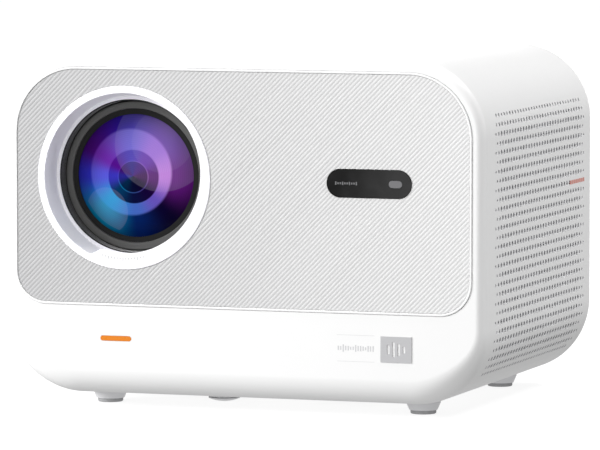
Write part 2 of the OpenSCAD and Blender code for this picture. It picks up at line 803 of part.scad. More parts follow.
module focus_barrel() {
    color([0.08, 0.08, 0.09]) union() {
        turned_y(lens_x, lens_z) polygon([
            [31.2, rim_y + 0.5], [31.2, rim_y + 2.5], [barrel_r, rim_y + 2.5], [barrel_r, -36],
            [26.2, -36], [26.2, -40], [31, -44], [31, glass_y], [28.7, glass_y - 0.9],
            [28.7, rim_y + 0.5]
        ]);
        radial_pins(barrel_r - 1, 37.7, 1.5);
    }
}

module lens_rim() {
    color([0.25, 0.25, 0.26]) turned_y(lens_x, lens_z) polygon([
        [31.3, rim_y + 0.3], [31.6, rim_y], [barrel_r - 0.3, rim_y], [barrel_r, rim_y + 0.3],
        [barrel_r, rim_y + 2.5], [31.3, rim_y + 2.5]
    ]);
}

// A round lens about the lens axis: two spherical faces and a plain edge
module round_lens(edge_r, y0, y1, front_radius, back_radius) {
    front_sag = front_radius - sqrt(front_radius * front_radius - edge_r * edge_r);
    back_sag = back_radius - sqrt(back_radius * back_radius - edge_r * edge_r);
    turned_y(lens_x, lens_z) intersection() {
        translate([0, y0 - front_sag]) square([edge_r, y1 - y0 + front_sag + back_sag]);
        disc(0, y0 - front_sag + front_radius, front_radius);
        disc(0, y1 + back_sag - back_radius, back_radius);
    }
}

module front_lens() color("mediumpurple") round_lens(30.9, glass_y + 0.1, glass_y + 4, 95, 160, $fn = 480);
module rear_lens() color("lightsteelblue") round_lens(26, -40, -37, 60, 120, $fn = 480);

// Half the angle of a tooth at radius r, in degrees, for a 20 degree involute
function involute(angle) = tan(angle) * 180 / PI - angle;
function tooth_half(teeth, r) =
    let (base_r = tooth_module * teeth / 2 * cos(20))
    (90 - 2.5) / teeth + involute(20) - involute(acos(min(1, base_r / max(r, base_r))));

module tooth(teeth) {
    middle_r = tooth_module * teeth / 2;
    root_r = middle_r - 1.25 * tooth_module;
    steps = [-1.5, -1.1, -0.5, 0, 0.4, 0.7, 0.95];
    polygon(concat(
        [for (s = steps)
            let (r = middle_r + s * tooth_module, a = tooth_half(teeth, r)) r * [cos(a), sin(a)]],
        [for (k = [len(steps) - 1 : -1 : 0])
            let (r = middle_r + steps[k] * tooth_module, a = tooth_half(teeth, r)) r * [cos(a), -sin(a)]]
    ));
}

// Ring gear that turns on the lens tube; its teeth cover the working arc only
module focus_gear() {
    step = 360 / gear_teeth;
    color("ivory") {
        along_y(gear_y[0], gear_y[1]) translate([lens_x, lens_z])
            ring(pitch_r - 1.25 * tooth_module, 38 + gap);
        for (k = [-16 : 16])
            along_y(gear_y[0], gear_y[1]) translate([lens_x, lens_z])
                rotate(mesh_angle + k * step) tooth(gear_teeth);
    }
}

module motor_pinion() {
    color("goldenrod") {
        along_y(gear_y[0] - 0.5, gear_y[1] + 0.5) translate([pinion_x, pinion_z])
            ring(tooth_module * (pinion_teeth / 2 - 1.25), 1.05 + slip);
        for (k = [0 : pinion_teeth - 1])
            along_y(gear_y[0] - 0.5, gear_y[1] + 0.5) translate([pinion_x, pinion_z])
                rotate(mesh_angle + 180 + (k + 0.5) * 360 / pinion_teeth) tooth(pinion_teeth);
    }
}

// Geared focus motor, bolted to the engine's front wall
module focus_motor() {
    color("silver") {
        along_y(-53, light_y - 51) disc(pinion_x, pinion_z, 7.5);
        along_y(gear_y[0] - 1, -53) disc(pinion_x, pinion_z, 1.05);
    }
}

// ---- Speakers -------------------------------------------------------------------------

module both_sides() {
    children();
    mirror([1, 0, 0]) children();
}

module speaker_boxes() {
    color([0.15, 0.15, 0.15]) both_sides() difference() {
        block([62, speaker_y - 33, speaker_z - 22], [baffle_x, speaker_y + 33, speaker_z + 22]);
        block([64, speaker_y - 31, speaker_z - 20], [baffle_x - 2, speaker_y + 31, speaker_z + 20]);
        along_x(baffle_x - 3, baffle_x + 1) disc(speaker_y, speaker_z, speaker_r - 2);
    }
    color([0.15, 0.15, 0.15]) both_sides() for (y = [speaker_y - 14, speaker_y + 16])
        block([62, y, tray_top], [72, y + 10, speaker_z - 22]);
}

// Basket, magnet and pole of each driver
module speaker_drivers() {
    color("dimgray") both_sides() turned_x(speaker_y, speaker_z) {
        translate([speaker_r - 3.4, baffle_x]) square([3.4, 1.5]);
        polygon([
            [0, 84], [14, 84], [14, 94],
            [16.6, baffle_x], [speaker_r - 3, baffle_x], [speaker_r - 3, baffle_x + 0.5],
            [15.8, baffle_x + 0.5], [13, 94.8], [8.5, 94.8], [8.5, 88], [6.5, 88], [6.5, 94], [0, 94]
        ]);
    }
}

// A paper cone with its dust cap and voice coil; the coil sits in the magnet's gap
module cone(side) {
    mirror([side < 0 ? 1 : 0, 0, 0]) turned_x(speaker_y, speaker_z) polygon([
        [0, 98.5], [7, 98.5], [7, 92], [8, 92], [8, 97], [14.6, baffle_x - 1.5], [14.6, baffle_x - 0.5],
        [7.5, 99.5], [4, 101.5], [0, 102.2]
    ]);
}

module cone_left() color("black") cone(-1);
module cone_right() color("black") cone(1);

// ---- Draw -----------------------------------------------------------------------------

housing();
rear_cover();
base_tray();
panel_trim();
front_panel();
lens_bezel();
lens_seal();
sensor_window();
sensor_lens();
camera_module();
light_bar();
badge_plate();
foot_collars();
foot_pads();
foot_screws();
tilt_pad();
tilt_screw();
tilt_nut();
tripod_insert();
base_screws();
rear_screws();
power_button();
switch_board();
ac_inlet();
inlet_pins();
hdmi_ports();
usb_ports();
audio_jack();
main_board();
board_heatsink();
board_posts();
psu_board();
psu_parts();
engine_base();
engine_cover();
engine_legs();
fold_mirror();
exit_fresnel();
lcd_panel();
polariser();
entry_fresnel();
condenser_lens();
led_board();
led_heatsink();
fan_frame();
fan_rotor();
lcd_fan_frame();
lcd_fan_rotor();
lens_tube();
focus_gear();
focus_barrel();
lens_rim();
front_lens();
rear_lens();
focus_motor();
motor_pinion();
speaker_boxes();
speaker_drivers();
cone_left();
cone_right();
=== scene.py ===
"""Looks for the home projector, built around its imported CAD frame.

Everything is in metres in the CAD's own frame: X runs side to side, -Y is the front, +Z is up.
The housing, the ribbed panel and the front trims are rebuilt here with their full detail; the
other CAD nodes keep their shapes and get their materials here."""

import math

import bmesh
import bpy
import numpy as np
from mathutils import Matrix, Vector


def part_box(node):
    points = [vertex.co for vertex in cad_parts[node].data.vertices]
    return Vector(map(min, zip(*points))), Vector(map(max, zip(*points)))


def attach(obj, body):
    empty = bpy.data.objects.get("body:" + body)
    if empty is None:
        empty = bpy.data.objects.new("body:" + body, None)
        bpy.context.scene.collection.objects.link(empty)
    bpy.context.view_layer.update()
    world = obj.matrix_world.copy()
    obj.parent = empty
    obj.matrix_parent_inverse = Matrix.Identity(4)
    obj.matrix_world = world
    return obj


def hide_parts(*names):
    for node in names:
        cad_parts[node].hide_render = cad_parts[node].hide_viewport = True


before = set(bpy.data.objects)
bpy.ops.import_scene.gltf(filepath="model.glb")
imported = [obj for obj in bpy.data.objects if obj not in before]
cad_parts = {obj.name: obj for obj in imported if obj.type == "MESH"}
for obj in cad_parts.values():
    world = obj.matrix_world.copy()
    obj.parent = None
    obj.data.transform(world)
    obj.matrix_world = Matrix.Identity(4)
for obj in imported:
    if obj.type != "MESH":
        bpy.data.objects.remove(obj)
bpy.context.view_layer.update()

MM = 0.001

# ---- Sizes that the visual pieces share with the CAD parts ----------------------------------

HOUSING_LOW, HOUSING_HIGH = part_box("housing")
HALF_WIDTH = HOUSING_HIGH.x
MID_Z = (HOUSING_LOW.z + HOUSING_HIGH.z) / 2
HALF_HEIGHT = (HOUSING_HIGH.z - HOUSING_LOW.z) / 2
CORNER_R = 35.5 * MM
FRONT_R = 4.5 * MM
CHIN_R = 12 * MM
BACK_R = 5 * MM
WALL = 2.6 * MM
PANEL_WALL = 2 * MM
REAR_LIP = 4.5 * MM
REAR_LIP_WIDTH = 8.5 * MM
SEAM = 0.15 * MM
# How far a cutting tool reaches past the surface that it cuts
PAST = 1 * MM

PANEL_LOW, PANEL_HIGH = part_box("panel_trim")
PANEL_TOP_R = 30.5 * MM
PANEL_LOW_R = 15.5 * MM
TRIM_WIDTH = 1.1 * MM
RECESS_Y = PANEL_HIGH.y

BEZEL_LOW, BEZEL_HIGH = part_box("lens_bezel")
LENS_AXIS = Vector(((BEZEL_LOW.x + BEZEL_HIGH.x) / 2, 0, (BEZEL_LOW.z + BEZEL_HIGH.z) / 2))
BEZEL_R = (BEZEL_HIGH.x - BEZEL_LOW.x) / 2
MOUTH_R = 39.4 * MM
THROAT_R = 37.4 * MM
FLOOR_R = 35.9 * MM
BEZEL_FLOOR = 1.5 * MM
TUBE_R = 40 * MM
TUBE_GAP = 0.4 * MM
LEDGE_ANGLES = (-115, 44)
LEDGE_CUT = (0.2 * MM, 2.6 * MM)
LEDGE_CUT_R = 37.7 * MM
LEDGE_CUT_ANGLES = (42, -107.7)
LEDGE_THICK = 2 * MM

VENT_R = 1.3 * MM
VENT_ROWS = 29
VENT_ROW_PITCH = 4.32 * MM
VENT_COLUMNS = 34
VENT_COLUMN_PITCH = 4.38 * MM
VENT_MID_Y = 1.15 * MM
VENT_START = 10.15 * MM
SIDE_MARK_ROW = 9
SIDE_MARK_Y = [50 * MM, 75 * MM]

# ---- Mesh helpers ---------------------------------------------------------------------------


def link_mesh(name, vertices, faces):
    """A new object from points and faces, with its faces turned outwards."""
    mesh = bpy.data.meshes.new(name)
    mesh.from_pydata([tuple(v) for v in vertices], [], faces)
    work = bmesh.new()
    work.from_mesh(mesh)
    bmesh.ops.recalc_face_normals(work, faces=work.faces)
    work.to_mesh(mesh)
    work.free()
    piece = bpy.data.objects.new(name, mesh)
    bpy.context.scene.collection.objects.link(piece)
    return piece


def arc(center, radius, start, end, steps):
    """Points of an arc in a plane, angles in degrees, both ends included."""
    angles = [math.radians(start + (end - start) * k / steps) for k in range(steps + 1)]
    return [(center[0] + radius * math.cos(a), center[1] + radius * math.sin(a)) for a in angles]


def circle(center, radius, steps=96):
    """Points of a full circle."""
    return arc(center, radius, 0, 360, steps)[:-1]


CORNERS = [(1, 1, 0), (-1, 1, 90), (-1, -1, 180), (1, -1, 270)]


def rounded(half_width, low, high, low_r, top_r, steps=24):
    """A rectangle about x = 0 with its own radius at the bottom and at the top corners."""
    points = []
    for side, up, start in CORNERS:
        radius = top_r if up > 0 else low_r
        center = (side * (half_width - radius), high - radius if up > 0 else low + radius)
        points += arc(center, radius, start, start + 90, steps)
    return points


def box_outline(low_x, high_x, low_z, high_z):
    """The four corners of a rectangle."""
    return [(low_x, low_z), (high_x, low_z), (high_x, high_z), (low_x, high_z)]


def pill(center, width, height, steps=24):
    """A slot with round ends."""
    reach = (width - height) / 2
    right = arc((center[0] + reach, center[1]), height / 2, -90, 90, steps)
    left = arc((center[0] - reach, center[1]), height / 2, 90, 270, steps)
    return right + left


def placed(point, depth, axis):
    """A point of a plane outline, set at a depth along the axis that it faces."""
    u, v = point
    return {"X": (depth, u, v), "Y": (u, depth, v), "Z": (u, v, depth)}[axis]


def band(first, second, count):
    """The faces between two closed rings of count points, given the first point of each."""
    turns = [(i, (i + 1) % count) for i in range(count)]
    return [[first + i, first + j, second + j, second + i] for i, j in turns]


def loft(name, rings):
    """A closed solid through rings of points, with flat ends."""
    count = len(rings[0])
    last = (len(rings) - 1) * count
    faces = [list(range(count)), [last + i for i in range(count)]]
    for k in range(len(rings) - 1):
        faces += band(k * count, (k + 1) * count, count)
    return link_mesh(name, [point for ring in rings for point in ring], faces)


def skin(name, outlines, axis="Y"):
    """A closed solid through plane outlines, each given as (depth, outline)."""
    return loft(name, [[placed(p, depth, axis) for p in outline] for depth, outline in outlines])


def extrude(name, outline, start, end, axis="Y"):
    """A prism from one depth to another."""
    return skin(name, [(start, outline), (end, outline)], axis)


def swept_ring(name, outline_at, profile):
    """A closed band that follows an outline; profile is a loop of (inset, y)."""
    rings = [(y, outline_at(inset)) for inset, y in profile]
    count = len(rings[0][1])
    vertices = [placed(p, depth, "Y") for depth, outline in rings for p in outline]
    faces = []
    for k in range(len(rings)):
        faces += band(k * count, (k + 1) % len(rings) * count, count)
    return link_mesh(name, vertices, faces)


def join(name, pieces):
    """One object out of several, keeping each one's faces as they are."""
    work = bmesh.new()
    for piece in pieces:
        work.from_mesh(piece.data)
        bpy.data.objects.remove(piece)
    mesh = bpy.data.meshes.new(name)
    work.to_mesh(mesh)
    work.free()
    joined = bpy.data.objects.new(name, mesh)
    bpy.context.scene.collection.objects.link(joined)
    return joined


def boolean(piece, tool, operation="DIFFERENCE"):
    """Cut, join or intersect a piece with a tool solid, and remove the tool."""
    modifier = piece.modifiers.new("boolean", "BOOLEAN")
    modifier.solver = "MANIFOLD"
    modifier.operation = operation
    modifier.object = tool
    bpy.context.view_layer.update()
    depsgraph = bpy.context.evaluated_depsgraph_get()
    result = bpy.data.meshes.new_from_object(piece.evaluated_get(depsgraph))
    piece.modifiers.clear()
    old = piece.data
    piece.data = result
    bpy.data.meshes.remove(old)
    bpy.data.objects.remove(tool)


def smooth(piece, degrees=30):
    """Smooth shading that stays sharp at edges steeper than the given angle."""
    piece.data.shade_smooth()
    piece.data.set_sharp_from_angle(angle=math.radians(degrees))


# ---- Material helpers -----------------------------------------------------------------------


def rgb(red, green, blue):
    """A colour given as 0 to 255 on a screen, in linear light."""
    channels = []
    for value in (red, green, blue):
        c = value / 255
        channels.append(c / 12.92 if c <= 0.04045 else ((c + 0.055) / 1.055) ** 2.4)
    return (*channels, 1)


class Graph:
    """A material's node tree around one Principled shader, with short calls for its nodes."""

    def __init__(self, name, **constants):
        self.material = bpy.data.materials.new(name)
        self.material.use_nodes = True
        self.nodes = self.material.node_tree.nodes
        self.nodes.clear()
        self.links = self.material.node_tree.links
        output = self.nodes.new("ShaderNodeOutputMaterial")
        self.shader = self.nodes.new("ShaderNodeBsdfPrincipled")
        self.links.new(self.shader.outputs[0], output.inputs["Surface"])
        self.place = self.nodes.new("ShaderNodeTexCoord").outputs["Object"]
        for socket, value in constants.items():
            self.shader.inputs[socket.replace("_", " ")].default_value = value

    def feed(self, socket, value):
        """Give a socket a constant, or link it to another node's output."""
        if isinstance(value, bpy.types.NodeSocket):
            self.links.new(value, socket)
        else:
            socket.default_value = value

    def set(self, socket, value):
        self.feed(self.shader.inputs[socket], value)

    def math(self, operation, *values, clamp=False):
        node = self.nodes.new("ShaderNodeMath")
        node.operation = operation
        node.use_clamp = clamp
        for socket, value in zip(node.inputs, values):
            self.feed(socket, value)
        return node.outputs[0]

    def noise(self, size, detail=3, place=None):
        """Noise whose features are about size metres across."""
        node = self.nodes.new("ShaderNodeTexNoise")
        self.feed(node.inputs["Vector"], place or self.place)
        node.inputs["Scale"].default_value = 1 / size
        node.inputs["Detail"].default_value = detail
        return node.outputs["Fac"]

    def remap(self, value, low, high, to_low, to_high, soft=False):
        node = self.nodes.new("ShaderNodeMapRange")
        node.interpolation_type = "SMOOTHSTEP" if soft else "LINEAR"
        for socket, number in zip(node.inputs, (value, low, high, to_low, to_high)):
            self.feed(socket, number)
        return node.outputs[0]

    def mix(self, factor, a, b, blend="MIX"):
        node = self.nodes.new("ShaderNodeMix")
        node.data_type = "RGBA"
        node.blend_type = blend
        self.feed(node.inputs[0], factor)
        self.feed(node.inputs[6], a)
        self.feed(node.inputs[7], b)
        return node.outputs[2]

    def ramp(self, value, stops):
        node = self.nodes.new("ShaderNodeValToRGB")
        node.color_ramp.interpolation = "EASE"
        elements = node.color_ramp.elements
        while len(elements) < len(stops):
            elements.new(0.5)
        for element, (position, color) in zip(elements, stops):
            element.position = position
            element.color = color
        self.feed(node.inputs[0], value)
        return node.outputs["Color"]

    def bump(self, height, depth, normal=None):
        node = self.nodes.new("ShaderNodeBump")
        node.inputs["Distance"].default_value = depth
        self.feed(node.inputs["Height"], height)
        if normal is not None:
            self.feed(node.inputs["Normal"], normal)
        self.set("Normal", node.outputs[0])
        return node.outputs[0]

    def axes(self):
        node = self.nodes.new("ShaderNodeSeparateXYZ")
        self.feed(node.inputs[0], self.place)
        return node.outputs


def scaled(color, factor):
    """A colour made lighter or darker by a factor."""
    return (*[min(1, c * factor) for c in color[:3]], 1)


def plastic(name, color, roughness, grain=0.7, depth=0.012, mottle=0.015, specular=0.4, **constants):
    """Moulded plastic: fine spark grain, with faint changes of tone and gloss. Grain in mm."""
    g = Graph(name, **constants)
    g.set("Specular IOR Level", specular)
    tone = g.noise(45 * MM, detail=2)
    g.set("Base Color", g.mix(tone, scaled(color, 1 - mottle), scaled(color, 1 + mottle)))
    fine = g.noise(grain * MM, detail=4)
    g.set("Roughness", g.remap(fine, 0.3, 0.7, roughness - 0.05, roughness + 0.05))
    g.bump(fine, depth * MM)
    return g.material


def metal(name, color, roughness, stretch=(1, 1, 1), mottle=0.08, depth=0.004):
    """Metal with a fine directional finish; stretch pulls the grain out along an axis."""
    g = Graph(name, Metallic=1.0)
    mapping = g.nodes.new("ShaderNodeMapping")
    mapping.inputs["Scale"].default_value = stretch
    g.feed(mapping.inputs["Vector"], g.place)
    grain = g.noise(0.6 * MM, detail=5, place=mapping.outputs[0])
    g.set("Base Color", g.mix(grain, scaled(color, 1 - mottle), scaled(color, 1 + mottle)))
    g.set("Roughness", g.remap(grain, 0.3, 0.7, roughness - 0.07, roughness + 0.07))
    g.bump(grain, depth * MM)
    return g.material


def rubber(name, color):
    """Dull rubber with a coarse skin."""
    g = Graph(name, Roughness=0.8)
    g.set("Specular IOR Level", 0.25)
    coarse = g.noise(1.4 * MM, detail=5)
    g.set("Base Color", g.mix(coarse, scaled(color, 0.85), scaled(color, 1.15)))
    g.bump(coarse, 0.05 * MM)
    return g.material


def felt(name, color):
    """Short matted fibres."""
    g = Graph(name, Roughness=0.95, Sheen_Weight=0.4)
    fibres = g.noise(0.35 * MM, detail=6)
    g.set("Base Color", g.mix(fibres, scaled(color, 0.6), scaled(color, 1.5)))
    g.bump(fibres, 0.12 * MM)
    return g.material


def circuit_board(name):
    """Green solder mask with lighter tracks."""
    g = Graph(name, Roughness=0.35)
    bricks = g.nodes.new("ShaderNodeTexBrick")
    bricks.inputs["Scale"].default_value = 160
    bricks.inputs["Mortar Size"].default_value = 0.06
    bricks.inputs["Color1"].default_value = rgb(16, 78, 46)
    bricks.inputs["Color2"].default_value = rgb(20, 88, 52)
    bricks.inputs["Mortar"].default_value = rgb(46, 126, 84)
    g.feed(bricks.inputs["Vector"], g.place)
    patches = g.noise(6 * MM, detail=4)
    tracks = g.remap(patches, 0.4, 0.6, 0, 0.7)
    g.set("Base Color", g.mix(tracks, rgb(18, 82, 48), bricks.outputs["Color"]))
    g.bump(bricks.outputs["Fac"], -0.03 * MM)
    return g.material


def clear_optic(name):
    """Clear moulded acrylic with a faint haze."""
    g = Graph(name, Roughness=0.05, IOR=1.49, Transmission_Weight=0.9)
    haze = g.noise(12 * MM)
    g.set("Base Color", g.mix(haze, rgb(226, 238, 240), rgb(240, 248, 250)))
    return g.material


def ribbed_grey_painted_sheen(name):
    """The panel's paint, with a painted sheen that lightens it from its left end to its right end."""
    g = Graph(name, Roughness=0.5)
    g.set("Specular IOR Level", 0.3)
    # Painted sheen: the grey lightens from the panel's left end to its right end.
    x = g.axes()[0]
    along = g.remap(x, PANEL_LOW.x, PANEL_HIGH.x, 0, 1)
    base = g.mix(along, rgb(176, 176, 177), rgb(214, 214, 214))
    fine = g.noise(0.5 * MM, detail=4)
    g.set("Base Color", g.mix(g.remap(fine, 0.3, 0.7, 0, 0.06), base, rgb(160, 160, 162)))
    g.bump(fine, 0.006 * MM)
    return g.material


def smoked_window_painted_sheen(name):
    """Smoked gloss plastic with a painted sheen that makes it a little lighter towards its right end."""
    low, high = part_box("sensor_window")
    g = Graph(name, Coat_Weight=0.1)
    g.set("Specular IOR Level", 0.15)
    # Painted sheen: lighter towards the right end of the window.
    along = g.remap(g.axes()[0], low.x, high.x, 0, 1, soft=True)
    dust = g.noise(8 * MM, detail=5)
    base = g.mix(along, rgb(20, 20, 20), rgb(50, 50, 50))
    g.set("Base Color", g.mix(g.remap(dust, 0.4, 0.8, 0, 0.08), base, rgb(90, 90, 92)))
    g.set("Roughness", g.remap(dust, 0.3, 0.7, 0.08, 0.16))
    return g.material


# Painted reflections of the lens coating: colours, each with its share of a turn from the left
# through the bottom: the outer glass, the bright ring on it and the core
COATING_REFLECTIONS = [
    (0.00, (50, 50, 200), (90, 90, 220), (55, 50, 180)),  # blue, at the left
    (0.12, (0, 140, 185), (10, 150, 210), (0, 50, 90)),  # cyan
    (0.26, (0, 30, 90), (65, 100, 185), (5, 10, 55)),  # navy, at the bottom
    (0.37, (5, 0, 40), (100, 80, 180), (15, 0, 50)),  # nearly black
    (0.50, (100, 25, 125), (190, 130, 215), (90, 25, 110)),  # plum, at the right
    (0.64, (100, 55, 160), (150, 105, 205), (95, 35, 160)),  # violet
    (0.77, (45, 25, 165), (105, 95, 200), (65, 50, 170)),  # indigo, at the top
    (0.92, (75, 10, 125), (110, 45, 170), (80, 15, 135)),  # purple
]
# The colour of the painted highlights on the lens glass
PAINTED_GLARE_COLOR = rgb(236, 226, 255)
# Painted highlights, as pale discs on the glass, in mm from the lens axis: x, z, radius, radius of
# the glass that they stay within, and strength
PAINTED_GLARES = [
    (13.6, 16.1, 23.2, 28.6, 0.05),
    (13.6, 16.6, 14.7, 28.6, 0.025),
    (-13.9, -16.5, 10.8, 27, 0.05),
]
RING_R, CORE_R, MIDDLE_R = 20.1, 12.6, 7.4


def painted_lens_reflections(name):
    """Coated front glass: colours of painted reflection sweep round the axis in concentric zones, under pale
    discs of painted highlight.
    """
    g = Graph(name, Roughness=0.1)
    g.set("Specular IOR Level", 0.03)
    axes = g.axes()
    x = g.math("MULTIPLY", g.math("SUBTRACT", axes[0], LENS_AXIS.x), 1000)
    z = g.math("MULTIPLY", g.math("SUBTRACT", axes[2], LENS_AXIS.z), 1000)
    turn = g.math("ADD", g.math("DIVIDE", g.math("ARCTAN2", z, x), 2 * math.pi), 0.5)

    def distance(center_x, center_z):
        dx = g.math("SUBTRACT", x, center_x)
        dz = g.math("SUBTRACT", z, center_z)
        return g.math("SQRT", g.math("ADD", g.math("MULTIPLY", dx, dx), g.math("MULTIPLY", dz, dz)))

    def within(center_x, center_z, radius, soft=0.3):
        return g.remap(distance(center_x, center_z), radius - soft, radius + soft, 1, 0, soft=True)

    def sweep(*colors):
        stops = [(stop[0], rgb(*color)) for stop, color in zip(COATING_REFLECTIONS, colors)]
        return g.ramp(turn, stops + [(1, rgb(*colors[0]))])

    outer, ring, core = [sweep(*colors) for colors in list(zip(*COATING_REFLECTIONS))[1:]]
    middle = g.mix(0.5, core, rgb(0, 0, 20))
    # Painted shade: the colour darkens towards the rim of the glass
    rim_shade = g.remap(distance(0, 0), 21, 30, 0, 0.55)
    color = g.mix(rim_shade, outer, rgb(4, 0, 20))
    color = g.mix(within(-1.6, 1.7, RING_R, 0.8), color, ring)
    color = g.mix(within(0, -0.3, CORE_R), color, core)
    color = g.mix(within(0, -0.5, MIDDLE_R), color, middle)
    # Painted highlights: thin bright lines at the edges of the core and the middle zone
    for radius in (CORE_R, MIDDLE_R):
        edge = g.math("ABSOLUTE", g.math("SUBTRACT", distance(0, -0.4), radius))
        color = g.mix(g.remap(edge, 0.1, 0.4, 0.35, 0), color, ring)

    # Painted highlights: pale discs, each kept within the glass
    for glare_x, glare_z, radius, edge, strength in PAINTED_GLARES:
        glare = g.math("MULTIPLY", within(glare_x, glare_z, radius), within(0, 0, edge))
        color = g.mix(g.math("MULTIPLY", glare, strength), color, PAINTED_GLARE_COLOR)
    # All the painted colour is darkened by 16 to 22 percent, in faint concentric ripples
    rings = g.math("SINE", g.math("MULTIPLY", distance(0, 0), 7))
    shade = g.remap(rings, -1, 1, 0.16, 0.22)
    g.set("Base Color", g.mix(shade, color, rgb(0, 0, 0)))
    return g.material


MATERIALS = {
    "shell_white": plastic("shell_white", rgb(229, 229, 229), 0.42),
    "cover_white": plastic("cover_white", rgb(224, 224, 224), 0.5),
    "trim_white": plastic("trim_white", rgb(232, 232, 232), 0.32, depth=0.004),
    "panel_grey": ribbed_grey_painted_sheen("panel_grey"),
    "felt": felt("felt", rgb(28, 28, 30)),
    "black_gloss": smoked_window_painted_sheen("black_gloss"),
    "sensor_grey": plastic("sensor_grey", rgb(112, 112, 114), 0.15, depth=0.001),
    "light_orange": plastic("light_orange", rgb(214, 122, 22), 0.3, depth=0.002, mottle=0.04),
    "badge_grey": plastic("badge_grey", rgb(178, 178, 180), 0.45, depth=0.004),
    "foot_grey": plastic("foot_grey", rgb(226, 226, 228), 0.4),
    "foot_rubber": rubber("foot_rubber", rgb(170, 170, 172)),
    "brass": metal("brass", rgb(208, 168, 96), 0.35),
    "steel": metal("steel", rgb(190, 192, 196), 0.32, stretch=(1, 1, 0.15)),
    "button_white": plastic("button_white", rgb(226, 226, 228), 0.3),
    "board_green": circuit_board("board_green"),
    "part_black": plastic("part_black", rgb(34, 34, 36), 0.5, depth=0.02, mottle=0.1),
    "mirror": metal("mirror", rgb(232, 236, 240), 0.08, mottle=0.01, depth=0.0),
    "clear_optic": clear_optic("clear_optic"),
    "lcd_dark": plastic("lcd_dark", rgb(26, 32, 38), 0.2, depth=0.002),
    "lens_coated": painted_lens_reflections("lens_coated"),
    "lens_black": plastic("lens_black", rgb(14, 14, 14), 0.5, grain=0.4, depth=0.008, specular=0.15),
    "lens_rim_grey": plastic("lens_rim_grey", rgb(74, 74, 73), 0.4, grain=0.4, depth=0.006),
    "gear_ivory": plastic("gear_ivory", rgb(226, 220, 200), 0.5),
    "aluminium": metal("aluminium", rgb(204, 206, 210), 0.3, stretch=(1, 0.1, 1)),
    "speaker_dark": felt("speaker_dark", rgb(40, 40, 42)),
}
# A darker copy of the shell's white for the walls of the vents: painted shade in the holes
SHADED_VENT_WALL = plastic("vent_wall_shaded", rgb(206, 206, 209), 0.6)
# Painted light: a lighter, faintly lavender copy of the white plastic, so that the shaded throat of the bezel
# reads lighter
LIT_BEZEL_WHITE = plastic("bezel_white_lit", rgb(250, 249, 254), 0.45, depth=0.004, specular=0.1,
                      Sheen_Weight=0.8, Sheen_Roughness=0.6)


def finish_cad_nodes():
    """Every CAD node takes the node material of the slot that the record gives it."""
    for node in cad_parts.values():
        for material_slot in node.material_slots:
            material_slot.material = MATERIALS[material_slot.material.name.split(".")[0]]


def finish_piece(piece, slot_name):
    """A piece on the root body in a slot's material, unless it has its materials already."""
    if not any(piece.data.materials):
        piece.data.materials.clear()
        piece.data.materials.append(MATERIALS[slot_name])
    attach(piece, "root")


# ---- Housing --------------------------------------------------------------------------------


def housing_outline(inset):
    """The housing seen from the front, moved inwards by inset."""
    bottom, top = MID_Z - HALF_HEIGHT + inset, MID_Z + HALF_HEIGHT - inset
    radius = CORNER_R - inset
    return rounded(HALF_WIDTH - inset, bottom, top, radius, radius)


def panel_outline(inset):
    """The front panel's opening, moved inwards by inset; its lower corners are tighter."""
    low_r, top_r = PANEL_LOW_R - inset, PANEL_TOP_R - inset
    return rounded(PANEL_HIGH.x - inset, PANEL_LOW.z + inset, PANEL_HIGH.z - inset, low_r, top_r)


def front_radius(up):
    """Radius of the front edge where the outline faces up (1) or down (-1): wider at the bottom."""
    down = np.clip(-up, 0, 1)
    return FRONT_R + (CHIN_R - FRONT_R) * down * down * (3 - 2 * down)


def edge_ring(angle, inset=0, front=True):
    """One ring of a rounded end; the angle runs from the side of the housing to its end face."""
    ring = []
    for side, up, start in CORNERS:
        for across, rise in arc((0, 0), 1, start, start + 90, 24):
            radius = (front_radius(rise) if front else BACK_R) - inset
            depth = inset + radius * (1 - math.sin(angle))
            reach = CORNER_R - inset - radius * (1 - math.cos(angle))
            x = side * (HALF_WIDTH - CORNER_R) + reach * across
            z = MID_Z + up * (HALF_HEIGHT - CORNER_R) + reach * rise
            ring.append((x, HOUSING_LOW.y + depth if front else HOUSING_HIGH.y - depth, z))
    return ring


def edge_angles():
    """The steps of a rounded end, in radians."""
    steps = 16
    return [math.pi / 2 * k / steps for k in range(steps + 1)]


def housing_solid():
    """The outside of the housing: rounded in front and behind, with long rounded edges."""
    rings = [edge_ring(angle) for angle in edge_angles()[::-1]]
    rings += [edge_ring(angle, front=False) for angle in edge_angles()]
    return loft("housing_look", rings)


def cavity_solid():
    """The space inside: one wall in from the outside, behind the wall that carries the panel."""
    start, end = RECESS_Y + PANEL_WALL, HOUSING_HIGH.y - REAR_LIP
    rings = [edge_ring(angle, WALL) for angle in edge_angles()[::-1]]
    rings = [[(x, max(y, start), z) for x, y, z in ring] for ring in rings]
    rings.append([(x, end, z) for x, y, z in edge_ring(0, WALL)])
    return loft("cavity", rings)


def on_side(s):
    """x, z and tilt at a distance along the side: up the top corner from its start, or down."""
    upper, lower = MID_Z + HALF_HEIGHT - CORNER_R, MID_Z - HALF_HEIGHT + CORNER_R
    axis_x = HALF_WIDTH - CORNER_R
    if s > 0:
        tilt, z = s / CORNER_R, upper
    elif s > lower - upper:
        tilt, z = 0, upper + s
    else:
        tilt, z = (s + upper - lower) / CORNER_R, lower
    return axis_x + CORNER_R * math.cos(tilt), z + CORNER_R * math.sin(tilt), tilt


